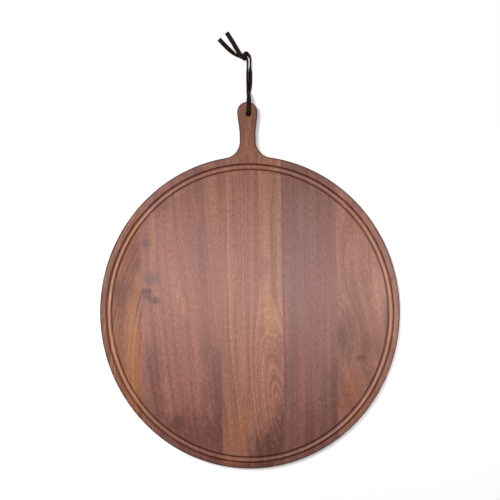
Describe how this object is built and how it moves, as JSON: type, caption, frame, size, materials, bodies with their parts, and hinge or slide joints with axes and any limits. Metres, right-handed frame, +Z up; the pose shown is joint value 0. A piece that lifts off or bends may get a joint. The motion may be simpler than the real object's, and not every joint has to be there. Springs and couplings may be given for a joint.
{
  "type": "bread board",
  "caption": "Round walnut bread and serving board with a short handle, a juice groove along the rim and a knotted leather hanging lace",
  "frame": {"origin": "Middle of the disc's underside, the face that the board rests on.", "axes": "+Z is up, out of the serving face. +Y runs along the staves from the disc's centre to the handle. +X is to the right, seen from above with the handle away."},
  "size_m": [0.4998, 0.7306, 0.0212],
  "materials": {
    "walnut_tan": "oiled walnut, orange tan",
    "walnut_red": "oiled walnut, red brown",
    "walnut_light": "oiled walnut, light pink tan",
    "walnut_grey": "oiled walnut, greyish brown",
    "walnut_salmon": "oiled walnut, salmon brown",
    "leather": "dark brown waxed leather thong"
  },
  "bodies": {
    "board": {"stave_left_outer": "walnut_tan", "stave_left_inner": "walnut_red", "stave_centre": "walnut_light", "stave_right_inner": "walnut_grey", "stave_right_outer": "walnut_salmon"},
    "lace": {"lace_hole_turn": "leather", "lace_front_leg": "leather", "lace_back_leg": "leather"},
    "lace_end": {"lace_front_end": "leather", "lace_back_end": "leather", "lace_knot": "leather", "lace_tail_upper": "leather", "lace_tail_lower": "leather"}
  },
  "joints": [
    {"name": "lace_swing", "type": "hinge", "parent": "board", "child": "lace", "pos_m": [0.002, 0.331, 0], "axis": [0, 0, 1], "range_deg": [-100, 100]},
    {"name": "lace_lift", "type": "hinge", "parent": "lace", "child": "lace_end", "pos_m": [0.003, 0.392, 0.0079], "axis": [1, 0, 0], "range_deg": [0, 100]}
  ]
}
